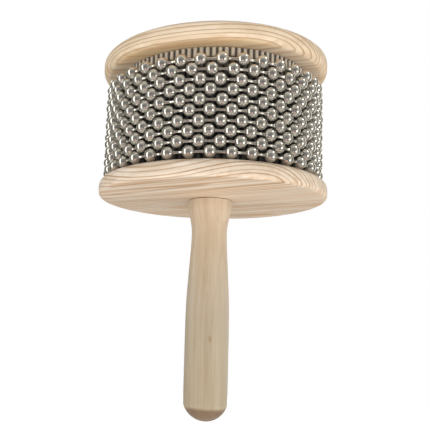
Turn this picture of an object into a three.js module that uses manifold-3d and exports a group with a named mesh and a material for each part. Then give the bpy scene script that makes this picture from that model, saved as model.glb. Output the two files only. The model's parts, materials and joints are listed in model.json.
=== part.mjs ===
// Cabasa: a hand percussion instrument. Loops of steel ball chain lie loosely round a drum that is
// covered with corrugated steel sheet, between two pine discs on a turned handle.
// Millimetres, +Z up. The handle's domed tip is at z = 0 and the player sees the -Y side.
import * as THREE from "three";
import { mergeVertices } from "three/addons/utils/BufferGeometryUtils.js";
import Module from "manifold-3d";

const wasm = await Module();
wasm.setup();

// Head
const discRadius = 57.5;
const discThickness = 8.5;
const outerEdgeRadius = 2.2; // rounding on the side away from the drum
const innerEdgeRadius = 3.8; // rounding on the side against the drum
const drumHeight = 54.5;
const coreRadius = 46.8;
const coreWall = 7;

// Handle
const handleLength = 109.8; // from the domed tip to the lower disc
const domeHeight = 6.7;
const gripRadius = 10.85;
const gripEnd = 12; // from the dome's edge to where the grip has its full radius
const taperLength = 38; // from the grip's full radius to the neck
const neckRadius = 8.86;
const neckBelowDisc = 18;
const flareRadius = 11;
const tenonRadius = 7;

// Corrugated sheet round the drum
const ribCrestRadius = 48.2;
const ribDepth = 0.7;
const ribCount = 104;
const sheetEndGap = 0.4;
const lapHalfAngle = THREE.MathUtils.degToRad(6);

// Ball chain loops
const loopCount = 10;
const ballsPerLoop = 35;
const ballRadius = 3;
const ballHalfLength = 2.7; // balls are a little shorter along the chain than they are wide
const fullWidthShare = 0.42; // the share of a ball's length that has its full width
const linkRadius = 0.6;
const chainRadius = 52.5;
const lowestLoopHeight = 3.6; // ball centres above the lower disc
const loopSpacing = 4.78;
const topLoopAngle = THREE.MathUtils.degToRad(-97.2);

// Fastenings
const screwRadius = 1.7;
const screwLength = 30;
const screwHeadRadius = 4;
const screwHeadHeight = 2.6;
const screwHeadRounding = 1;
const recessWidth = 0.9;
const recessDepth = 1.4;
const washerRadius = 6;
const washerThickness = 1;
const counterboreRadius = 7;
const counterboreDepth = 4.5;
const tackCount = 3;
const tackHeadRadius = 1.8;
const tackHeadThickness = 0.5;
const tackShankRadius = 0.6;
const tackLength = 6;

// Gaps between pieces that don't move on each other
const glueGap = 0.1;
const fitGap = 0.3;

const drumBottom = handleLength + discThickness;
const drumTop = drumBottom + drumHeight;
const headTop = drumTop + discThickness;
const tenonTop = drumTop - fitGap;
const counterboreFloor = headTop - counterboreDepth;
const lapRadius = ribCrestRadius + 0.2;
const quarter = Math.PI / 2;

const paleWood = new THREE.MeshStandardMaterial({ color: 0xd9c09c, roughness: 0.6, metalness: 0 });
const handleWood = new THREE.MeshStandardMaterial({ color: 0xcbb08a, roughness: 0.55, metalness: 0 });
const coreWood = new THREE.MeshStandardMaterial({ color: 0xb08d5f, roughness: 0.8, metalness: 0 });
const sheetSteel = new THREE.MeshStandardMaterial({ color: 0x9a9892, roughness: 0.35, metalness: 1 });
const chainSteel = new THREE.MeshStandardMaterial({ color: 0xc9c6bf, roughness: 0.15, metalness: 1 });
const fastenerSteel = new THREE.MeshStandardMaterial({ color: 0xb4b2ad, roughness: 0.3, metalness: 1 });

// A solid of revolution about Z from an outline in (radius, height).
function turned(outline, arcDivisions, segments) {
  const geometry = new THREE.LatheGeometry(outline.getPoints(arcDivisions), segments);
  return geometry.rotateX(quarter);
}

function solidFrom(geometry) {
  const bare = geometry.clone();
  bare.deleteAttribute("normal");
  bare.deleteAttribute("uv");
  const merged = mergeVertices(bare, 1e-3);
  return new wasm.Manifold(
    new wasm.Mesh({
      numProp: 3,
      vertProperties: merged.attributes.position.array,
      triVerts: new Uint32Array(merged.index.array),
    }),
  );
}

function cutAway(geometry, cutters) {
  const cut = cutters.reduce((left, cutter) => left.subtract(solidFrom(cutter)), solidFrom(geometry));
  const mesh = cut.getMesh();
  const result = new THREE.BufferGeometry();
  result.setAttribute("position", new THREE.BufferAttribute(mesh.vertProperties, 3));
  result.setIndex(new THREE.BufferAttribute(mesh.triVerts, 1));
  return result;
}

function named(name, geometry, material) {
  const mesh = new THREE.Mesh(geometry, material);
  mesh.name = name;
  return mesh;
}

// A disc with rounded edges, a bore and, where the upper bore is wider, a counterbore down to the ledge.
function woodenDisc({ bottom, lowEdge, highEdge, bore, upperBore, ledge }) {
  const top = bottom + discThickness;
  const outline = new THREE.Path();
  outline.moveTo(bore, bottom);
  outline.lineTo(discRadius - lowEdge, bottom);
  outline.absarc(discRadius - lowEdge, bottom + lowEdge, lowEdge, -quarter, 0);
  outline.lineTo(discRadius, top - highEdge);
  outline.absarc(discRadius - highEdge, top - highEdge, highEdge, 0, quarter);
  outline.lineTo(upperBore, top);
  outline.lineTo(upperBore, ledge);
  outline.lineTo(bore, ledge);
  outline.lineTo(bore, bottom);
  return turned(outline, 1, 48);
}

// Domed tip, grip, waisted neck, flared collar, then the tenon that runs up through the drum.
function handle() {
  const endRadius = gripRadius - 0.15;
  const domeRadius = (endRadius ** 2 + domeHeight ** 2) / (2 * domeHeight);
  const domeAngle = Math.asin(endRadius / domeRadius);
  const neckHeight = handleLength - neckBelowDisc;
  const flareRise = flareRadius - neckRadius;
  const pilotRadius = screwRadius + 0.2;
  const pilotBottom = counterboreFloor - screwLength - 1;
  const outline = new THREE.Path();
  outline.absarc(0, domeRadius, domeRadius, -quarter, domeAngle - quarter);
  outline.splineThru([
    new THREE.Vector2(gripRadius, domeHeight + gripEnd),
    new THREE.Vector2(gripRadius - 0.05, neckHeight - taperLength),
    new THREE.Vector2((gripRadius + neckRadius) / 2, neckHeight - taperLength / 2),
    new THREE.Vector2(neckRadius, neckHeight),
    new THREE.Vector2(neckRadius + 0.4 * flareRise, neckHeight + 0.45 * neckBelowDisc),
    new THREE.Vector2(neckRadius + 0.93 * flareRise, neckHeight + 0.75 * neckBelowDisc),
    new THREE.Vector2(flareRadius, handleLength),
  ]);
  outline.lineTo(tenonRadius, handleLength);
  outline.lineTo(tenonRadius, tenonTop);
  outline.lineTo(pilotRadius, tenonTop);
  outline.lineTo(pilotRadius, pilotBottom);
  outline.lineTo(0, pilotBottom);
  return turned(outline, 2, 24);
}

// A hollow cylinder or washer.
function ring(innerRadius, outerRadius, bottom, top, segments) {
  const outline = new THREE.Path();
  outline.moveTo(innerRadius, bottom);
  outline.lineTo(outerRadius, bottom);
  outline.lineTo(outerRadius, top);
  outline.lineTo(innerRadius, top);
  outline.lineTo(innerRadius, bottom);
  return turned(outline, 1, segments);
}

// Sheet steel with upright ribs, flat where its two ends lap at the back (+Y).
function corrugatedSheet() {
  const outline = new THREE.Shape();
  const steps = 2 * ribCount;
  for (let i = 0; i < steps; i += 1) {
    const angle = (i / steps) * 2 * Math.PI;
    const onLap = Math.abs(angle - quarter) <= lapHalfAngle;
    const rib = i % 2 ? ribCrestRadius - ribDepth : ribCrestRadius;
    const radius = onLap ? lapRadius : rib;
    const corner = [radius * Math.cos(angle), radius * Math.sin(angle)];
    if (i === 0) {
      outline.moveTo(...corner);
    } else {
      outline.lineTo(...corner);
    }
  }
  const inside = new THREE.Path();
  inside.absarc(0, 0, coreRadius + fitGap, 0, 2 * Math.PI);
  outline.holes.push(inside);
  const height = drumHeight - 2 * sheetEndGap;
  const sheet = new THREE.ExtrudeGeometry(outline, { depth: height, bevelEnabled: false, curveSegments: 36 });
  return sheet.translate(0, 0, drumBottom + sheetEndGap);
}

// One closed loop of chain: a torus whose tube is pinched to a thin link between balls. Each ball has
// four sections: two at its full width, and one at each end, where the link goes in.
function ballChainLoop() {
  const sections = 4 * ballsPerLoop;
  const sides = 5;
  const pitchAngle = (2 * Math.PI) / ballsPerLoop;
  const shoulder = (fullWidthShare * ballHalfLength) / chainRadius;
  const end = ballHalfLength / chainRadius;
  const alongBall = [-end, -shoulder, shoulder, end];
  const loop = new THREE.TorusGeometry(chainRadius, ballRadius, sides, sections);
  const places = loop.attributes.position;
  for (let i = 0; i < places.count; i += 1) {
    const section = i % (sections + 1);
    const place = section % 4;
    const angle = Math.floor(section / 4) * pitchAngle + alongBall[place];
    const swell = place === 1 || place === 2 ? 1 : linkRadius / ballRadius;
    const reach = Math.hypot(places.getX(i), places.getY(i)) - chainRadius;
    const radius = chainRadius + reach * swell;
    places.setXYZ(i, radius * Math.cos(angle), radius * Math.sin(angle), places.getZ(i) * swell);
  }
  return loop;
}

// Pan head wood screw with a cross recess, point downwards.
function clampScrew() {
  const headBottom = counterboreFloor + washerThickness;
  const headTopHeight = headBottom + screwHeadHeight;
  const shankBottom = counterboreFloor - screwLength;
  const edge = screwHeadRounding;
  const outline = new THREE.Path();
  outline.moveTo(0, shankBottom);
  outline.lineTo(screwRadius, shankBottom + 2 * screwRadius);
  outline.lineTo(screwRadius, headBottom);
  outline.lineTo(screwHeadRadius, headBottom);
  outline.lineTo(screwHeadRadius, headTopHeight - edge);
  outline.absarc(screwHeadRadius - edge, headTopHeight - edge, edge, 0, quarter);
  outline.lineTo(0, headTopHeight);
  const slots = [0, quarter].map((turn) => {
    const slot = new THREE.BoxGeometry(1.2 * screwHeadRadius, recessWidth, 2 * recessDepth);
    return slot.rotateZ(turn).translate(0, 0, headTopHeight);
  });
  return cutAway(turned(outline, 1, 16), slots);
}

// A round-headed tack that points from the lap of the sheet towards the drum's axis.
function seamTack(height) {
  const outline = new THREE.Path();
  outline.moveTo(0, -tackLength);
  outline.lineTo(tackShankRadius, 2 * tackShankRadius - tackLength);
  outline.lineTo(tackShankRadius, 0);
  outline.lineTo(tackHeadRadius, 0);
  outline.lineTo(tackHeadRadius - 0.4, tackHeadThickness);
  outline.lineTo(0, tackHeadThickness);
  const tack = turned(outline, 1, 10);
  return tack.rotateX(-quarter).translate(0, lapRadius + 0.05, height);
}

function tackHole(height) {
  const radius = tackShankRadius + fitGap;
  const hole = new THREE.CylinderGeometry(radius, radius, 2 * tackLength, 8);
  return hole.translate(0, lapRadius - fitGap, height);
}

const tackHeights = Array.from(
  { length: tackCount },
  (_, i) => drumBottom + (drumHeight * (i + 0.5)) / tackCount,
);
const tackHoles = tackHeights.map(tackHole);

const cabasa = new THREE.Group();
cabasa.add(named("handle", handle(), handleWood));

const bottomDisc = woodenDisc({
  bottom: handleLength,
  lowEdge: outerEdgeRadius,
  highEdge: innerEdgeRadius,
  bore: tenonRadius + glueGap,
  upperBore: tenonRadius + glueGap,
  ledge: handleLength,
});
cabasa.add(named("bottom_disc", bottomDisc, paleWood));

const topDisc = woodenDisc({
  bottom: drumTop,
  lowEdge: innerEdgeRadius,
  highEdge: outerEdgeRadius,
  bore: screwRadius + 0.5,
  upperBore: counterboreRadius,
  ledge: counterboreFloor,
});
cabasa.add(named("top_disc", topDisc, paleWood));

const core = ring(coreRadius - coreWall, coreRadius, drumBottom, drumTop, 60);
cabasa.add(named("drum_core", cutAway(core, tackHoles), coreWood));
cabasa.add(named("corrugated_sleeve", cutAway(corrugatedSheet(), tackHoles), sheetSteel));

const washer = ring(
  screwRadius + 0.5,
  washerRadius,
  counterboreFloor,
  counterboreFloor + washerThickness,
  16,
);
cabasa.add(named("screw_washer", washer, fastenerSteel));
cabasa.add(named("clamp_screw", clampScrew(), fastenerSteel));

tackHeights.forEach((height, i) => {
  cabasa.add(named(`seam_tack_${i + 1}`, seamTack(height), fastenerSteel));
});

// Neighbouring loops are staggered by half a ball, so that they nest.
const halfPitch = Math.PI / ballsPerLoop;
for (let row = 0; row < loopCount; row += 1) {
  const loop = named(`bead_loop_${String(row + 1).padStart(2, "0")}`, ballChainLoop(), chainSteel);
  loop.position.z = drumBottom + lowestLoopHeight + row * loopSpacing;
  loop.rotation.z = topLoopAngle + ((loopCount - 1 - row) % 2) * halfPitch;
  cabasa.add(loop);
}

export default cabasa;
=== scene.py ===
"""The looks of a cabasa: steel ball chain round a ribbed drum, between two pine discs on a turned
handle.

Everything is in metres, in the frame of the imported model: +Z runs up the handle, and -Y is the front.
"""
import json
import math
import random

import bpy
from mathutils import Matrix, Vector, noise


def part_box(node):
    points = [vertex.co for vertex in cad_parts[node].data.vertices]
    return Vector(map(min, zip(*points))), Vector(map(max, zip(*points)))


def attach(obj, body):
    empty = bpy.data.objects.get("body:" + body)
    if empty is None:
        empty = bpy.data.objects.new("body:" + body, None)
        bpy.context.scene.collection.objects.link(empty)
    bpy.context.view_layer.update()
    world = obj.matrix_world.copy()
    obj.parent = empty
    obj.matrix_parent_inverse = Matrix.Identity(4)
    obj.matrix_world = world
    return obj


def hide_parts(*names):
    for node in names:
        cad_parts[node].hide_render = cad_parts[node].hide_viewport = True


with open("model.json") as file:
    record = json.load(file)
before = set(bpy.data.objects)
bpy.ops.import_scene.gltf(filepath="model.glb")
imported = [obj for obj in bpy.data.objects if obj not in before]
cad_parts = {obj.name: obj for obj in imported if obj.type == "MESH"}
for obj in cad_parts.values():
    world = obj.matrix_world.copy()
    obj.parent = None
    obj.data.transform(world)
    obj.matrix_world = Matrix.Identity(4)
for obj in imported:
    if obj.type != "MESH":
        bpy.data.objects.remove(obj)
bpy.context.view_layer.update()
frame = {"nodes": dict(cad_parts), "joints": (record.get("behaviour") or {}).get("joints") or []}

MM = 0.001
LOOPS = [f"bead_loop_{i:02d}" for i in range(1, 11)]
FIXED_BODY = "handle_and_drum"

# Chain
BALLS = 35
BALL_RADIUS = 3.0 * MM
BALL_HALF_LENGTH = 3.0 * MM
LINK_RADIUS = 0.68 * MM
CHAIN_RADIUS = 52.5 * MM
TOP_LOOP_ANGLE = math.radians(-96.3)

# Corrugated sheet
RIBS = 104
RIB_DEPTH = 0.7 * MM
SHEET_THICKNESS = 0.4 * MM
LAP_HALF_ANGLE = math.radians(6)

# Turned and routed edges
OUTER_EDGE = 2.2 * MM
INNER_EDGE = 3.8 * MM

# Fine relief: in the materials, and in the sanded wood's mesh
GRAIN_DEPTH = 0.08 * MM
SCRATCH_DEPTH = 0.01 * MM
SANDING_DEPTH = 0.05 * MM

HEAD_CENTRE = Vector((0, 0, 0.14))


# ---------------------------------------------------------------- camera, floor and light

def place_camera():
    """A camera in front of the handle that looks slightly up and to the left of it, so that the
    instrument stands right of the lens's axis."""
    position = Vector((-0.0003, -0.3405, 0.0445))
    to_the_left = math.radians(7.66)
    pitch = math.radians(8.45)
    roll = math.radians(2.61)
    focal_share = 1.554  # focal length over the picture's width
    data = bpy.data.cameras.new("camera")
    data.sensor_width = 36
    data.lens = focal_share * data.sensor_width
    data.shift_x = 0.221
    data.shift_y = 0.026
    camera = bpy.data.objects.new("camera", data)
    right = Vector((math.cos(to_the_left), math.sin(to_the_left), 0))
    level = Vector((-math.sin(to_the_left), math.cos(to_the_left), 0))
    forward = level * math.cos(pitch) + Vector((0, 0, math.sin(pitch)))
    up = right.cross(forward)
    tilted_right = right * math.cos(roll) + up * math.sin(roll)
    tilted_up = up * math.cos(roll) - right * math.sin(roll)
    axes = Matrix((tilted_right, tilted_up, -forward)).transposed()
    camera.matrix_world = Matrix.Translation(position) @ axes.to_4x4()
    bpy.context.scene.collection.objects.link(camera)
    bpy.context.scene.camera = camera


def softbox(name, direction, distance, size, radiance, colour=(1, 1, 1), mirrored=True, lights=True):
    """A rectangular light that faces the head from the given direction. size and distance are in
    metres. mirrored: it shows as a reflection in the metal. lights: it also lights the wood."""
    data = bpy.data.lights.new(name, "AREA")
    data.shape = "RECTANGLE"
    data.size, data.size_y = size
    data.energy = radiance * math.pi * size[0] * size[1]
    data.color = colour
    lamp = bpy.data.objects.new(name, data)
    towards = Vector(direction).normalized()
    lamp.location = HEAD_CENTRE + towards * distance
    lamp.rotation_euler = towards.to_track_quat("Z", "Y").to_euler()
    lamp.visible_camera = False
    lamp.visible_glossy = mirrored
    lamp.visible_diffuse = lights
    bpy.context.scene.collection.objects.link(lamp)


def light_the_studio():
    """Small lamps that show in the metal, large ones that light the wood, and the tent."""
    softbox("upper_right_lamp", (0.60, -0.20, 0.77), 0.9, (0.24, 0.24), 4.5, lights=False)
    softbox("lower_right_lamp", (0.74, -0.55, -0.34), 0.9, (0.34, 0.30), 2.7, lights=False)
    softbox("left_window", (-0.84, -0.52, 0.0), 0.6, (0.17, 0.8), 2.0, lights=False)
    softbox(
        "warm_card", (-0.05, -0.80, -0.62), 0.9, (0.42, 0.36), 0.55, (1.0, 0.48, 0.40), lights=False
    )
    softbox("front_fill", (-0.05, -1.0, -0.30), 1.5, (1.8, 1.5), 1.38, mirrored=False)
    softbox("left_fill", (-0.93, -0.38, -0.15), 1.0, (0.8, 1.0), 1.75, mirrored=False)
    softbox("right_fill", (0.93, -0.40, -0.20), 1.0, (0.8, 1.0), 1.5, mirrored=False)
    softbox(
        "floor_bounce", (0.35, -0.45, -0.90), 0.6, (1.2, 1.2), 0.85, (1.0, 0.93, 0.84),
        mirrored=False,
    )
    softbox("back_fill", (0.1, 1.0, 0.30), 1.5, (1.8, 1.5), 2.1, mirrored=False)
    softbox("top_fill", (0.0, 0.15, 1.0), 1.2, (1.4, 1.4), 0.7, mirrored=False)
    softbox("back_window", (0.70, 0.72, 0.20), 0.9, (0.24, 0.8), 1.7, lights=False)
    softbox("back_lamp", (-0.50, 0.65, 0.55), 0.9, (0.26, 0.26), 3, lights=False)
    pitch_tent()


def pitch_tent():
    """A white tent all round, with a dim opening in front, where the camera stands. The camera itself
    sees plain white."""
    world = bpy.data.worlds.new("studio")
    bpy.context.scene.world = world
    world.use_nodes = True
    tree = world.node_tree
    tree.nodes.clear()
    out = tree.nodes.new("ShaderNodeOutputWorld")
    seen = tree.nodes.new("ShaderNodeBackground")
    seen.inputs["Color"].default_value = (1, 1, 1, 1)
    around = tree.nodes.new("ShaderNodeBackground")
    path = tree.nodes.new("ShaderNodeLightPath")
    pick = tree.nodes.new("ShaderNodeMixShader")
    tree.links.new(path.outputs["Is Camera Ray"], pick.inputs[0])
    tree.links.new(around.outputs[0], pick.inputs[1])
    tree.links.new(seen.outputs[0], pick.inputs[2])
    tree.links.new(pick.outputs[0], out.inputs["Surface"])

    opening = (0, -0.985, -0.174)  # the direction of the tent's open front
    coordinates = tree.nodes.new("ShaderNodeTexCoord")
    lens_side = vector_node(tree, "DOT_PRODUCT", coordinates.outputs["Generated"], opening)
    tent = ramp_node(
        tree, math_node(tree, "MULTIPLY_ADD", lens_side, 0.5, 0.5),
        [
            (0.0, (0.32, 0.31, 0.29)), (0.14, (0.24, 0.23, 0.21)), (0.25, (0.08, 0.08, 0.065)),
            (0.44, (0.08, 0.08, 0.06)), (0.54, (0.44, 0.43, 0.38)),
            (0.64, (0.60, 0.59, 0.53)), (0.82, (0.25, 0.25, 0.24)), (1.0, (0.11,) * 3),
        ],
    )
    tree.links.new(tent, around.inputs["Color"])


# ---------------------------------------------------------------- node helpers

def math_node(tree, operation, *values):
    """A maths node whose inputs are sockets or plain numbers; returns its output socket."""
    node = tree.nodes.new("ShaderNodeMath")
    node.operation = operation
    for socket, value in zip(node.inputs, values):
        if isinstance(value, (int, float)):
            socket.default_value = value
        else:
            tree.links.new(value, socket)
    return node.outputs[0]


def vector_node(tree, operation, *values):
    """A vector maths node whose inputs are sockets or plain vectors; returns its output socket."""
    node = tree.nodes.new("ShaderNodeVectorMath")
    node.operation = operation
    for socket, value in zip(node.inputs, values):
        if isinstance(value, (tuple, list)):
            socket.default_value = value
        else:
            tree.links.new(value, socket)
    gives_number = operation in ("LENGTH", "DOT_PRODUCT")
    return node.outputs["Value" if gives_number else "Vector"]


def scaled(tree, vector, factors):
    return vector_node(tree, "MULTIPLY", vector, tuple(factors))


def noise_node(tree, vector, detail=2.0, roughness=0.5):
    """Noise with one feature per unit of the vector."""
    node = tree.nodes.new("ShaderNodeTexNoise")
    node.inputs["Scale"].default_value = 1.0
    node.inputs["Detail"].default_value = detail
    node.inputs["Roughness"].default_value = roughness
    tree.links.new(vector, node.inputs["Vector"])
    return node


def centred_noise(tree, vector, reach):
    """A noise vector across the grain, from about -reach / 2 to reach / 2."""
    colour = noise_node(tree, vector).outputs["Color"]
    return scaled(tree, vector_node(tree, "SUBTRACT", colour, (0.5, 0.5, 0.5)), (0, reach, reach))


def line_noise(tree, along, scale):
    """Noise along one number."""
    node = tree.nodes.new("ShaderNodeTexNoise")
    node.noise_dimensions = "1D"
    node.inputs["Scale"].default_value = scale
    node.inputs["Detail"].default_value = 1.0
    tree.links.new(along, node.inputs["W"])
    return node.outputs["Fac"]


def ramp_node(tree, value, stops):
    """A colour ramp from (position, grey or colour) stops."""
    node = tree.nodes.new("ShaderNodeValToRGB")
    elements = node.color_ramp.elements
    while len(elements) < len(stops):
        elements.new(1.0)
    for element, (position, colour) in zip(elements, stops):
        element.position = position
        grey = isinstance(colour, (int, float))
        element.color = (colour, colour, colour, 1) if grey else (*colour, 1)
    tree.links.new(value, node.inputs[0])
    return node.outputs[0]


def mix_colour(tree, share, first, second, blend="MIX"):
    """Mixes the second colour into the first; each input is a socket or a plain value."""
    node = tree.nodes.new("ShaderNodeMix")
    node.data_type = "RGBA"
    node.blend_type = blend
    node.clamp_factor = True
    for socket, value in ((node.inputs[0], share), (node.inputs[6], first), (node.inputs[7], second)):
        if isinstance(value, (int, float)):
            socket.default_value = value
        elif isinstance(value, tuple):
            socket.default_value = (*value, 1)
        else:
            tree.links.new(value, socket)
    return node.outputs[2]


def bump_node(tree, height, distance, strength=1.0):
    """A normal bent by a height socket, where a height of 1 stands for the distance in metres."""
    node = tree.nodes.new("ShaderNodeBump")
    node.inputs["Strength"].default_value = strength
    node.inputs["Distance"].default_value = distance
    tree.links.new(height, node.inputs["Height"])
    return node.outputs["Normal"]


def new_material(name):
    """An empty node material: its tree, its Principled shader and millimetre object coordinates."""
    material = bpy.data.materials.new(name)
    material.use_nodes = True
    tree = material.node_tree
    shader = tree.nodes["Principled BSDF"]
    coordinates = tree.nodes.new("ShaderNodeTexCoord")
    place = scaled(tree, coordinates.outputs["Object"], (1000, 1000, 1000))
    return material, tree, shader, place


# ---------------------------------------------------------------- materials

def wood_material(name, turn, pith, ring, warp, pale, dark, contrast, end_shade, heart=0.0,
                  figure=1.0, face_softness=0.5, uneven=1.2, darker_below=None, sheen=0.0, knot=None):
    """Solid wood. turn (degrees) brings the grain onto X. The rings go round a pith line at (y, z)
    pith in the turned frame, ring millimetres apart, bent by warp millimetres. contrast: how strong
    they are. uneven: how far their widths vary. face_softness: how much fainter they are on the flat
    faces. Inside the radius heart the wood is golden. figure: how strong the fibres and streaks are.
    darker_below: (height, tone, foot_tone), the tones that the wood takes on below that height. sheen: the
    lightness that fine sanding gives it at a glancing angle. knot: the place of a pin knot."""
    material, tree, shader, place = new_material(name)
    grain = grain_space(tree, place, turn, pith)
    flatness = squared_normal(tree, (0, 0, 1))
    radius = ring_radius(tree, grain, warp)
    latewood, rings = ring_pattern(tree, radius, ring, uneven)
    rings = math_node(tree, "MULTIPLY", rings, contrast)
    softened = ramp_node(tree, flatness, [(0.45, 1.0), (0.95, 1 - face_softness)])
    rings = math_node(tree, "MULTIPLY", rings, softened)
    fibre = noise_node(
        tree, scaled(tree, grain, (0.05, 1.6, 1.6)), detail=3, roughness=0.65
    ).outputs["Fac"]

    colour = mix_colour(tree, rings, pale, dark)
    tones = [
        face_bands(tree, grain, flatness, figure), streak_tone(tree, grain, figure),
        ramp_node(tree, fibre, [(0.25, 1 - 0.10 * figure), (0.75, 1 + 0.05 * figure)]),
        blotch_tone(tree, place), heartwood_tone(tree, radius, heart),
        # The end-grain darkening is partly painted shade on the handle's downward-facing dome.
        end_grain_and_shade_tone(tree, turn, end_shade),
    ]
    if knot is not None:
        tones.append(knot_tone(tree, place, knot))
    # Darker and greyer towards the foot, below the given height.
    if darker_below is not None:
        tones.append(darkening_towards_foot(tree, place, *darker_below))
    for tone in tones:
        colour = mix_colour(tree, 1.0, colour, tone, "MULTIPLY")
    tree.links.new(colour, shader.inputs["Base Color"])

    roughness = ramp_node(tree, fibre, [(0.3, 0.50), (0.7, 0.64)])
    tree.links.new(roughness, shader.inputs["Roughness"])
    shader.inputs["Specular IOR Level"].default_value = 0.35
    shader.inputs["Sheen Weight"].default_value = sheen
    raised_latewood = math_node(tree, "MULTIPLY_ADD", latewood, 0.35, fibre)
    tree.links.new(bump_node(tree, raised_latewood, GRAIN_DEPTH), shader.inputs["Normal"])
    return material


def grain_space(tree, place, turn, pith):
    """Millimetre coordinates with the grain along X and the pith line at y = z = 0."""
    mapping = tree.nodes.new("ShaderNodeMapping")
    mapping.inputs["Rotation"].default_value = [math.radians(a) for a in turn]
    mapping.inputs["Location"].default_value = (0, -pith[0], -pith[1])
    tree.links.new(place, mapping.inputs["Vector"])
    return mapping.outputs["Vector"]


def ring_radius(tree, grain, warp):
    """The distance from the pith line, bent slowly and quickly by up to about warp millimetres."""
    slow = centred_noise(tree, scaled(tree, grain, (0.006, 0.022, 0.022)), warp * 2)
    fast = centred_noise(tree, scaled(tree, grain, (0.03, 0.15, 0.15)), warp * 0.35)
    bent = vector_node(tree, "ADD", vector_node(tree, "ADD", grain, slow), fast)
    return vector_node(tree, "LENGTH", scaled(tree, bent, (0, 1, 1)))


def ring_pattern(tree, radius, ring, uneven):
    """The latewood's share, which rises slowly and ends sharply at each ring, and the same with some
    rings fainter than others."""
    width_noise = line_noise(tree, radius, 0.30)
    spread = math_node(tree, "MULTIPLY_ADD", width_noise, uneven * ring, radius)
    count = math_node(tree, "DIVIDE", spread, ring)
    latewood = ramp_node(
        tree, math_node(tree, "FRACT", count),
        [(0.0, 0.0), (0.50, 0.05), (0.72, 0.28), (0.84, 1.0), (0.92, 0.95), (0.98, 0.04)],
    )
    ring_noise = line_noise(tree, math_node(tree, "FLOOR", count), 3.7)
    boldness = ramp_node(tree, ring_noise, [(0.3, 0.6), (0.6, 1.0)])
    return latewood, math_node(tree, "MULTIPLY", latewood, boldness)


def face_bands(tree, grain, flatness, figure):
    """Reddish bands along the grain, on the flat faces only."""
    broad = noise_node(tree, scaled(tree, grain, (0.005, 0.09, 0.09)), detail=1.5).outputs["Fac"]
    band = (1 - 0.13 * figure, 1 - 0.30 * figure, 1 - 0.46 * figure)
    bands = ramp_node(
        tree, broad,
        [(0.41, 1.0), (0.45, band), (0.48, 1.0), (0.56, 1.0), (0.59, band), (0.66, 1.0)],
    )
    return mix_colour(tree, flatness, (1.0, 1.0, 1.0), bands)


def streak_tone(tree, grain, figure):
    """Long soft streaks along the grain."""
    streak = noise_node(
        tree, scaled(tree, grain, (0.012, 0.22, 0.22)), detail=3, roughness=0.6
    ).outputs["Fac"]
    deep = (1 - 0.12 * figure, 1 - 0.18 * figure, 1 - 0.25 * figure)
    return ramp_node(tree, streak, [(0.32, deep), (0.62, 1 + 0.04 * figure)])


def blotch_tone(tree, place):
    """Slow changes of tone over some centimetres."""
    blotch = noise_node(tree, scaled(tree, place, (0.03, 0.03, 0.03)), detail=2).outputs["Fac"]
    return ramp_node(tree, blotch, [(0.3, (0.96, 0.93, 0.89)), (0.7, (1.02, 1.01, 1.0))])


def heartwood_tone(tree, radius, heart):
    """Golden inside the radius heart (millimetres from the pith line)."""
    outside = math_node(tree, "SUBTRACT", radius, heart - 1.5)
    return ramp_node(tree, outside, [(0.0, (0.98, 0.87, 0.67)), (1.0, 1.0)])


def knot_tone(tree, place, centre):
    """A pin knot about two millimetres across, longer along Z."""
    offset = scaled(tree, vector_node(tree, "SUBTRACT", place, centre), (1, 1, 0.45))
    away = vector_node(tree, "LENGTH", offset)
    return ramp_node(tree, away, [(0.2, (0.78, 0.69, 0.60)), (1.0, 1.0)])


def squared_normal(tree, direction):
    """How squarely the surface faces the direction or its opposite, from 0 to 1."""
    coordinates = tree.nodes.new("ShaderNodeTexCoord")
    share = vector_node(tree, "DOT_PRODUCT", coordinates.outputs["Normal"], tuple(direction))
    return math_node(tree, "MULTIPLY", share, share)


def darkening_towards_foot(tree, place, height, tone, foot_tone):
    """Fades from nothing at the height (millimetres) to the tone halfway down and to foot_tone at
    the foot."""
    share = math_node(tree, "DIVIDE", height_of(tree, place), height)
    return ramp_node(tree, share, [(0.1, foot_tone), (0.5, tone), (1.0, 1.0)])


def height_of(tree, place):
    """The height in millimetres, from millimetre coordinates."""
    split = tree.nodes.new("ShaderNodeSeparateXYZ")
    tree.links.new(place, split.inputs[0])
    return split.outputs["Z"]


def end_grain_and_shade_tone(tree, turn, shade):
    """Darker where the surface cuts across the grain: partly the end grain's own tone, partly painted
    shade on the handle's downward-facing dome.
    """
    grain = Matrix.Identity(3)
    for angle, axis in zip(turn, "XYZ"):
        grain = Matrix.Rotation(math.radians(angle), 3, axis) @ grain
    along = grain.transposed() @ Vector((1, 0, 0))
    return ramp_node(tree, squared_normal(tree, along), [(0.08, 1.0), (0.24, shade)])


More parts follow.
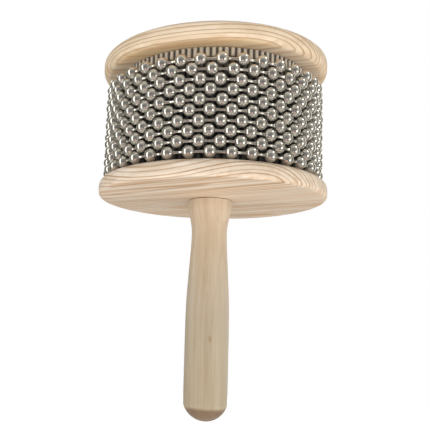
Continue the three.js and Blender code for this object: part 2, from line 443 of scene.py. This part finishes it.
def steel_material(name, tint, rough, grime, metallic=1.0, crests=None, painted_shade_below=None):
    """Bright steel with uneven polish, fine scratches and a little grime. crests: for ribbed sheet, the
    radius of the crests (millimetres); the grooves between them are darkened with painted shade.
    Below the height given last (millimetres) it is nearly black with painted shade from the chain."""
    material, tree, shader, place = new_material(name)
    patches = noise_node(
        tree, scaled(tree, place, (0.35,) * 3), detail=3, roughness=0.6
    ).outputs["Fac"]
    stretch = (0.5, 0.5, 5.0) if crests is None else (1.2, 1.2, 0.08)
    scratches = noise_node(
        tree, scaled(tree, place, stretch), detail=4, roughness=0.7
    ).outputs["Fac"]
    dull = tuple(c * (1 - grime) for c in tint)
    tone = ramp_node(tree, patches, [(0.25, dull), (0.7, tint)])
    if crests is not None:
        # Painted shade in the grooves between the ribs.
        tone = mix_colour(tree, 1.0, tone, painted_groove_shade(tree, place, crests), "MULTIPLY")
    # Painted shade: below the chain's top row the sheet is painted nearly black, where the balls shade
    # it.
    if painted_shade_below is not None:
        chain_shade = painted_shade_tone(tree, place, patches, painted_shade_below)
        tone = mix_colour(tree, 1.0, tone, chain_shade, "MULTIPLY")
    tree.links.new(tone, shader.inputs["Base Color"])
    shader.inputs["Metallic"].default_value = metallic
    scratched = math_node(tree, "MULTIPLY_ADD", scratches, rough * 0.8, rough * 0.3)
    polish = math_node(tree, "MULTIPLY_ADD", patches, rough * 0.6, scratched)
    tree.links.new(polish, shader.inputs["Roughness"])
    tree.links.new(bump_node(tree, scratches, SCRATCH_DEPTH, 0.5), shader.inputs["Normal"])
    return material


def painted_groove_shade(tree, place, crests):
    """Painted shade: darker in the grooves of the ribbed sheet, full tint on the crests."""
    reach = vector_node(tree, "LENGTH", scaled(tree, place, (1, 1, 0)))
    rise = math_node(tree, "SUBTRACT", reach, crests - RIB_DEPTH / MM)
    share = math_node(tree, "DIVIDE", rise, RIB_DEPTH / MM)
    return ramp_node(tree, share, [(0.15, 0.14), (0.50, 0.55), (0.75, 1.0)])


def painted_shade_tone(tree, place, patches, top):
    """Painted shade under the chain: nearly black below the height top (millimetres), with an uneven
    edge.
    """
    waviness = 3.0
    height = math_node(tree, "MULTIPLY_ADD", patches, waviness, height_of(tree, place))
    above = math_node(tree, "SUBTRACT", height, top + 1.0)
    return ramp_node(tree, above, [(0.0, 0.14), (1.0, 1.0)])


# ---------------------------------------------------------------- mesh helpers

def arc(centre, radius, start, stop, steps):
    """Points on an arc in (radius, height), angles in degrees from the outward direction."""
    points = []
    for i in range(steps + 1):
        angle = math.radians(start + (stop - start) * i / steps)
        points.append((centre[0] + radius * math.cos(angle), centre[1] + radius * math.sin(angle)))
    return points


def smooth_through(points, steps):
    """A Catmull-Rom curve through the points, without the last one."""
    curve = []
    ends = [points[0], *points, points[-1]]
    for a, b, c, d in zip(ends, ends[1:], ends[2:], ends[3:]):
        for i in range(steps):
            t = i / steps
            curve.append(tuple(
                0.5 * (2 * b[k] + (c[k] - a[k]) * t + (2 * a[k] - 5 * b[k] + 4 * c[k] - d[k]) * t ** 2
                       + (3 * b[k] - a[k] - 3 * c[k] + d[k]) * t ** 3)
                for k in (0, 1)
            ))
    return curve


def revolve(profile, segments, closed=False):
    """Vertices and faces of an outline in (radius, height) turned about Z. An open outline starts and
    ends on the axis; a closed one is a ring."""
    vertices, faces, rows = [], [], []
    for radius, height in profile:
        if radius < 1e-7:
            rows.append([len(vertices)] * segments)
            vertices.append((0, 0, height))
            continue
        rows.append(list(range(len(vertices), len(vertices) + segments)))
        for i in range(segments):
            angle = 2 * math.pi * i / segments
            vertices.append((radius * math.cos(angle), radius * math.sin(angle), height))
    pairs = list(zip(rows, rows[1:]))
    if closed:
        pairs.append((rows[-1], rows[0]))
    for low, high in pairs:
        for i in range(segments):
            j = (i + 1) % segments
            corners = [low[i], low[j], high[j], high[i]]
            face = [c for k, c in enumerate(corners) if c != corners[k - 1]]
            if len(set(face)) > 2:
                faces.append(face)
    return vertices, faces


def add_mesh(name, vertices, faces, material, smooth_angle=None):
    """A smooth-shaded object; edges sharper than smooth_angle (degrees) stay sharp."""
    mesh = bpy.data.meshes.new(name)
    mesh.from_pydata([tuple(v) for v in vertices], [], faces)
    mesh.materials.append(material)
    mesh.update()
    mesh.shade_smooth()
    if smooth_angle is not None:
        mesh.set_sharp_from_angle(angle=math.radians(smooth_angle))
    piece = bpy.data.objects.new(name, mesh)
    bpy.context.scene.collection.objects.link(piece)
    return piece


def sanded(vertices, scale, seed):
    """Moves each vertex by a little smooth noise, as sanding by hand leaves. scale is in waves per
    metre."""
    noise.seed_set(seed)
    shift = Vector((seed * 7.3, seed * 3.1, seed * 1.7))
    moved = []
    for v in vertices:
        point = Vector(v)
        moved.append(point + SANDING_DEPTH * Vector(noise.noise_vector(point * scale + shift)))
    return moved


def fit_piece(piece, body, slot, *nodes):
    """Hangs the piece on its body and hides the CAD nodes it stands for."""
    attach(piece, body)
    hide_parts(*nodes)


# ---------------------------------------------------------------- wooden pieces

def disc_profile(node, low_edge, high_edge, bore, upper_bore, ledge):
    """A disc's section: its bore, lower face, rounded edges and upper face. A bore that is wider above
    the height ledge is a counterbore."""
    low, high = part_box(node)
    radius = high.x
    chamfer = 0.3 * MM
    points = [(bore, low.z), (radius * 0.5, low.z)]
    points += arc((radius - low_edge, low.z + low_edge), low_edge, -90, 0, 10)
    points += arc((radius - high_edge, high.z - high_edge), high_edge, 0, 90, 10)
    points += [(radius * 0.5, high.z), (upper_bore + chamfer, high.z), (upper_bore, high.z - chamfer)]
    if upper_bore > bore:
        points += [(upper_bore, ledge), (bore, ledge)]
    return points


def make_discs(pine_low, pine_top):
    tenon_bore, screw_bore, counterbore = 7.1 * MM, 2.2 * MM, 7 * MM
    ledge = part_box("screw_washer")[0].z
    profile = disc_profile("bottom_disc", OUTER_EDGE, INNER_EDGE, tenon_bore, tenon_bore, None)
    add_disc("lower_disc", profile, 1, pine_low, "bottom_disc")
    profile = disc_profile("top_disc", INNER_EDGE, OUTER_EDGE, screw_bore, counterbore, ledge)
    add_disc("upper_disc", profile, 2, pine_top, "top_disc")


def add_disc(name, profile, seed, material, node):
    vertices, faces = revolve(profile, 256, closed=True)
    disc = add_mesh(name, sanded(vertices, 90, seed), faces, material, 40)
    fit_piece(disc, FIXED_BODY, "pine", node)


def grip_profile(end, grip, dome_height, shoulder, flare):
    """The handle's outside: domed tip, grip, waisted neck and flare, up to just below the shoulder."""
    neck, grip_end, taper, below_disc = 8.86 * MM, 12 * MM, 38 * MM, 18 * MM
    neck_height = shoulder - below_disc
    dome_radius = (end ** 2 + dome_height ** 2) / (2 * dome_height)
    half_angle = math.degrees(math.asin(end / dome_radius))
    profile = arc((0, dome_radius), dome_radius, -90, half_angle - 91.5, 14)
    profile[0] = (0, 0)
    return profile + smooth_through(
        [
            (end, dome_height + 0.25 * MM),
            (grip, dome_height + grip_end),
            (grip - 0.05 * MM, neck_height - taper),
            ((grip + neck) / 2, neck_height - taper / 2),
            (neck, neck_height),
            (neck + 0.4 * (flare - neck), neck_height + 0.45 * below_disc),
            (neck + 0.93 * (flare - neck), neck_height + 0.75 * below_disc),
            (flare, shoulder - 0.5 * MM),
        ],
        10,
    )


def make_handle(material):
    """The grip, its flared collar, and the tenon that runs up through the drum, with a screw hole."""
    grip, flare, tenon, dome_height = 10.85 * MM, 11 * MM, 7 * MM, 7.8 * MM
    chamfer, screw_hole, hole_depth = 0.45 * MM, 1.9 * MM, 28 * MM
    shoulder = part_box("bottom_disc")[0].z
    tenon_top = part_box("handle")[1].z
    profile = grip_profile(grip - 0.15 * MM, grip, dome_height, shoulder, flare)
    profile += [(flare, shoulder - chamfer), (flare - 0.6 * chamfer, shoulder - 0.1 * MM)]
    profile += [(flare - chamfer, shoulder), (tenon, shoulder), (tenon, tenon_top)]
    hole_floor = tenon_top - hole_depth
    profile += [(screw_hole, tenon_top), (screw_hole, hole_floor), (0, hole_floor)]
    vertices, faces = revolve(profile, 128)
    handle = add_mesh("turned_handle", sanded(vertices, 60, 3), faces, material, 30)
    fit_piece(handle, FIXED_BODY, "handle_wood", "handle")


# ---------------------------------------------------------------- metal pieces

def sheet_outline(crest):
    """The ribbed sheet's outside in (angle, radius), flat where its ends lap at the back."""
    samples = RIBS * 10
    lap_rise = 0.1 * MM
    outline = []
    for i in range(samples):
        angle = 2 * math.pi * i / samples
        wave = 0.5 + 0.5 * math.cos(RIBS * angle)
        ribbed = crest - RIB_DEPTH * (1 - wave ** 0.8)
        off_lap = abs(angle - math.pi / 2) - LAP_HALF_ANGLE
        flat = min(1, max(0, 1 - off_lap / math.radians(1)))
        outline.append((angle, ribbed + flat * (crest + lap_rise - ribbed)))
    return outline


def make_sleeve(material):
    """Thin ribbed sheet wrapped round the drum, with its rims turned in a little."""
    low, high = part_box("corrugated_sleeve")
    rim_height, rim_inset = 0.15 * MM, 0.12 * MM
    levels = [low.z, low.z + rim_height, high.z - rim_height, high.z]
    inset = [rim_inset, 0, 0, rim_inset]
    vertices, faces = [], []
    columns = []
    for angle, radius in sheet_outline(high.x):
        column = []
        skins = [(radius - d, z) for d, z in zip(inset, levels)]
        skins += [(radius - SHEET_THICKNESS, high.z), (radius - SHEET_THICKNESS, low.z)]
        for reach, height in skins:
            column.append(len(vertices))
            vertices.append((reach * math.cos(angle), reach * math.sin(angle), height))
        columns.append(column)
    for column, following in zip(columns, columns[1:] + columns[:1]):
        for k in range(len(column)):
            n = (k + 1) % len(column)
            faces.append([column[k], following[k], following[n], column[n]])
    sleeve = add_mesh("ribbed_sheet", vertices, faces, material, 50)
    fit_piece(sleeve, FIXED_BODY, "sheet_steel", "corrugated_sleeve")


def ball_template():
    """A ball whose axis is Z, with a dimple at each pole where the rod goes in."""
    hole, dimple_depth, lip = 0.95 * MM, 0.7 * MM, 0.15 * MM
    start = math.degrees(math.acos(hole / BALL_RADIUS))
    side = []
    steps = 16
    for i in range(steps + 1):
        angle = math.radians(-start + 2 * start * i / steps)
        side.append((BALL_RADIUS * math.cos(angle), BALL_HALF_LENGTH * math.sin(angle)))
    pole = side[0][1]
    floor = pole + dimple_depth
    profile = [(0, floor), (0.8 * hole, floor), (0.93 * hole, pole + lip), *side]
    profile += [(0.93 * hole, -pole - lip), (0.8 * hole, -floor), (0, -floor)]
    return revolve(profile, 24)


def link_template():
    """A short rod along Z that swells a little where it enters the balls."""
    pitch = 2 * CHAIN_RADIUS * math.sin(math.pi / BALLS)
    overlap, collar, slope = 0.6 * MM, 0.75 * MM, 0.35 * MM
    half = pitch / 2 - BALL_HALF_LENGTH + overlap
    flare = 1.25 * LINK_RADIUS
    outline = [(flare, half), (flare, half - collar), (LINK_RADIUS, half - collar - slope)]
    lower = [(radius, -height) for radius, height in outline]
    return revolve([(0, -half), *lower, *reversed(outline), (0, half)], 12)


def chain_row(draw, phase, pitch, hinge_height):
    """A loop's balls, each a little off its even place: pairs of its centre and its placing matrix."""
    spacing_play, height_play, reach_play, tilt_play = 0.035, 0.14, 0.12, 0.09
    lie_along = Matrix.Rotation(math.pi / 2, 4, "X")
    row = []
    for i in range(BALLS):
        angle = phase + (i + draw.uniform(-spacing_play, spacing_play)) * pitch
        height = hinge_height + draw.uniform(-height_play, height_play) * MM
        reach = CHAIN_RADIUS + draw.uniform(-reach_play, reach_play) * MM
        centre = Vector((reach * math.cos(angle), reach * math.sin(angle), height))
        tilt = Matrix.Rotation(draw.uniform(-tilt_play, tilt_play), 4, "Z")
        turned = Matrix.Rotation(angle, 4, "Z") @ lie_along @ tilt
        row.append((centre, Matrix.Translation(centre) @ turned))
    return row


def make_chain_loops(material):
    """Each loop of chain is one piece that rides on its own body. The rows nest by half a pitch."""
    ball, link = ball_template(), link_template()
    draw = random.Random(5)
    pitch = 2 * math.pi / BALLS
    phase_play = 0.06
    hinges = {joint["child"]: joint["pos_m"][2] for joint in frame["joints"]}
    for row, node in enumerate(LOOPS):
        body = f"loop_{row + 1:02d}"
        stagger = ((len(LOOPS) - 1 - row) % 2) * pitch / 2
        phase = TOP_LOOP_ANGLE + stagger + draw.uniform(-phase_play, phase_play) * pitch
        vertices, faces = [], []
        places = chain_row(draw, phase, pitch, hinges[body])
        for _, place in places:
            add_copy(ball, place, vertices, faces)
        centres = [centre for centre, _ in places]
        for first, second in zip(centres, centres[1:] + centres[:1]):
            along = (second - first).normalized().to_track_quat("Z", "Y").to_matrix().to_4x4()
            add_copy(link, Matrix.Translation((first + second) / 2) @ along, vertices, faces)
        loop = add_mesh(f"chain_loop_{row + 1:02d}", vertices, faces, material, 45)
        fit_piece(loop, body, "chain_steel", node)


def add_copy(template, place, vertices, faces):
    """Adds the template, moved by the matrix place, to the lists of vertices and faces."""
    start = len(vertices)
    vertices.extend(place @ Vector(v) for v in template[0])
    faces.extend([start + c for c in face] for face in template[1])


def make_screw(material):
    """Pan head screw with a cross recess, in the top disc's counterbore, on its washer."""
    edge = 0.25 * MM
    make_washer(material, edge)
    low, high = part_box("clamp_screw")
    head, head_bottom = high.x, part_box("screw_washer")[1].z
    shank, tip_length, rounding = 1.7 * MM, 3.4 * MM, 1.3 * MM
    profile = [(0, low.z), (shank, low.z + tip_length), (shank, head_bottom)]
    profile += [(head - edge, head_bottom), (head, head_bottom + edge)]
    profile += arc((head - rounding, high.z - rounding), rounding, 0, 90, 8)
    profile += [(0, high.z)]
    vertices, faces = revolve(profile, 64)
    screw = add_mesh("pan_head_screw", vertices, faces, material, 40)
    for turn in (0, math.pi / 2):
        cut_slot(screw, turn, high.z)
    fit_piece(screw, FIXED_BODY, "fastener_steel", "clamp_screw")


def make_washer(material, edge):
    """A flat washer whose rims are bevelled by edge."""
    low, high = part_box("screw_washer")
    inner, outer = 2.3 * MM, high.x
    profile = [(inner, low.z), (outer - edge, low.z), (outer, low.z + edge)]
    profile += [(outer, high.z - edge), (outer - edge, high.z), (inner, high.z)]
    vertices, faces = revolve(profile, 64, closed=True)
    washer = add_mesh("flat_washer", vertices, faces, material, 40)
    fit_piece(washer, FIXED_BODY, "fastener_steel", "screw_washer")


def cut_slot(screw, turn, top):
    """Cuts one tapered arm of the cross recess into the screw's head."""
    length, width, depth = 2.3 * MM, 0.5 * MM, 1.5 * MM
    floor_share, mouth_share = 0.45, 1.55
    corners = []
    for height, share in ((-depth, floor_share), (depth, mouth_share)):
        for x, y in ((-1, -1), (1, -1), (1, 1), (-1, 1)):
            corners.append((x * length * share, y * width * share, height))
    faces = [[3, 2, 1, 0], [4, 5, 6, 7], [0, 1, 5, 4], [1, 2, 6, 5], [2, 3, 7, 6], [3, 0, 4, 7]]
    place = Matrix.Translation((0, 0, top)) @ Matrix.Rotation(turn, 4, "Z")
    steel = screw.data.materials[0]
    cutter = add_mesh("slot_cutter", [place @ Vector(c) for c in corners], faces, steel)
    cut = screw.modifiers.new("slot", "BOOLEAN")
    cut.operation = "DIFFERENCE"
    cut.solver = "EXACT"
    cut.object = cutter
    bpy.context.view_layer.update()
    graph = bpy.context.evaluated_depsgraph_get()
    result = bpy.data.meshes.new_from_object(screw.evaluated_get(graph))
    screw.modifiers.clear()
    screw.data = result
    screw.data.set_sharp_from_angle(angle=math.radians(40))
    bpy.data.objects.remove(cutter)


def make_tacks(material):
    """Round-headed tacks that hold the lapped ends of the sheet at the back."""
    for i in (1, 2, 3):
        node = f"seam_tack_{i}"
        low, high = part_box(node)
        head = high.x
        dome, shank, point_length = 0.5 * MM, 0.6 * MM, 1.2 * MM
        base = high.y - dome
        profile = [(0, low.y), (shank, low.y + point_length), (shank, base), (head, base)]
        for angle in (0.25, 0.5, 0.8, 1.1, 1.35):
            profile.append((head * math.cos(angle), base + dome * math.sin(angle)))
        profile.append((0, high.y))
        vertices, faces = revolve(profile, 32)
        centre = Vector((0, 0, (low.z + high.z) / 2))
        place = Matrix.Translation(centre) @ Matrix.Rotation(-math.pi / 2, 4, "X")
        vertices = [place @ Vector(v) for v in vertices]
        tack = add_mesh(f"round_tack_{i}", vertices, faces, material, 40)
        fit_piece(tack, FIXED_BODY, "fastener_steel", node)


def make_floor():
    """A plain pale floor, lit from within so that it stays pale in every view."""
    half, height = 14.0, -1.3
    corners = [(x * half, y * half, height) for x, y in ((-1, -1), (1, -1), (1, 1), (-1, 1))]
    material = bpy.data.materials.new("pale_floor")
    material.use_nodes = True
    shader = material.node_tree.nodes["Principled BSDF"]
    shader.inputs["Base Color"].default_value = (0.85, 0.85, 0.84, 1)
    shader.inputs["Roughness"].default_value = 0.9
    shader.inputs["Emission Color"].default_value = (1, 1, 1, 1)
    shader.inputs["Emission Strength"].default_value = 0.85
    floor = add_mesh("floor", corners, [[0, 1, 2, 3]], material)
    floor.visible_glossy = False
    floor.visible_diffuse = False


# ---------------------------------------------------------------- the scene

place_camera()
light_the_studio()
bpy.context.scene.view_settings.view_transform = "Standard"
make_floor()

pine_low = wood_material(
    "pine_lower_disc", turn=(0, 0, 27), pith=(-37, 85), ring=1.9, warp=1.5,
    pale=(0.86, 0.77, 0.68), dark=(0.46, 0.27, 0.12), contrast=0.95, end_shade=(0.95, 0.93, 0.90),
    face_softness=0.3,
)
pine_top = wood_material(
    "pine_upper_disc", turn=(0, 0, 12), pith=(-46, 126), ring=2.0, warp=1.5,
    pale=(0.83, 0.71, 0.565), dark=(0.44, 0.25, 0.09), contrast=0.95, end_shade=(0.95, 0.93, 0.90),
    heart=48.0, figure=0.7, uneven=0.4,
)
# The handle's end_shade is partly its darker end grain and partly painted shade on the downward-facing
# dome.
handle_wood = wood_material(
    "handle_wood", turn=(0, 90, 0), pith=(30, 40), ring=4.5, warp=5,
    pale=(0.61, 0.50, 0.377), dark=(0.51, 0.40, 0.28), contrast=0.45, end_shade=(0.46, 0.36, 0.30),
    # Below 105 mm the handle turns darker and greyer towards its foot.
    figure=0.9, darker_below=(105, (0.82, 0.86, 0.87), (0.75, 0.77, 0.73)), sheen=0.35,
    knot=(1.6, -10.8, 40),
)
core_wood = wood_material(
    "core_wood", turn=(0, 90, 0), pith=(0, 80), ring=3.0, warp=8,
    pale=(0.50, 0.33, 0.16), dark=(0.32, 0.19, 0.08), contrast=0.8, end_shade=(0.7, 0.6, 0.5),
)
chain_steel = steel_material("chain_steel", (0.88, 0.84, 0.77), 0.05, 0.15, metallic=0.9)
# The ribbed sheet carries painted shade in its grooves and, below 168 mm, under the chain.
sheet_steel = steel_material(
    "sheet_steel", (0.96, 0.96, 0.93), 0.2, 0.1, metallic=0.65,
    crests=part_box("corrugated_sleeve")[1].x / MM, painted_shade_below=168.0,
)
fastener_steel = steel_material("fastener_steel", (0.66, 0.65, 0.62), 0.28, 0.2)

make_handle(handle_wood)
make_discs(pine_low, pine_top)
make_sleeve(sheet_steel)
make_chain_loops(chain_steel)
make_screw(fastener_steel)
make_tacks(fastener_steel)

core = frame["nodes"]["drum_core"]
core.data.materials.clear()
core.data.materials.append(core_wood)
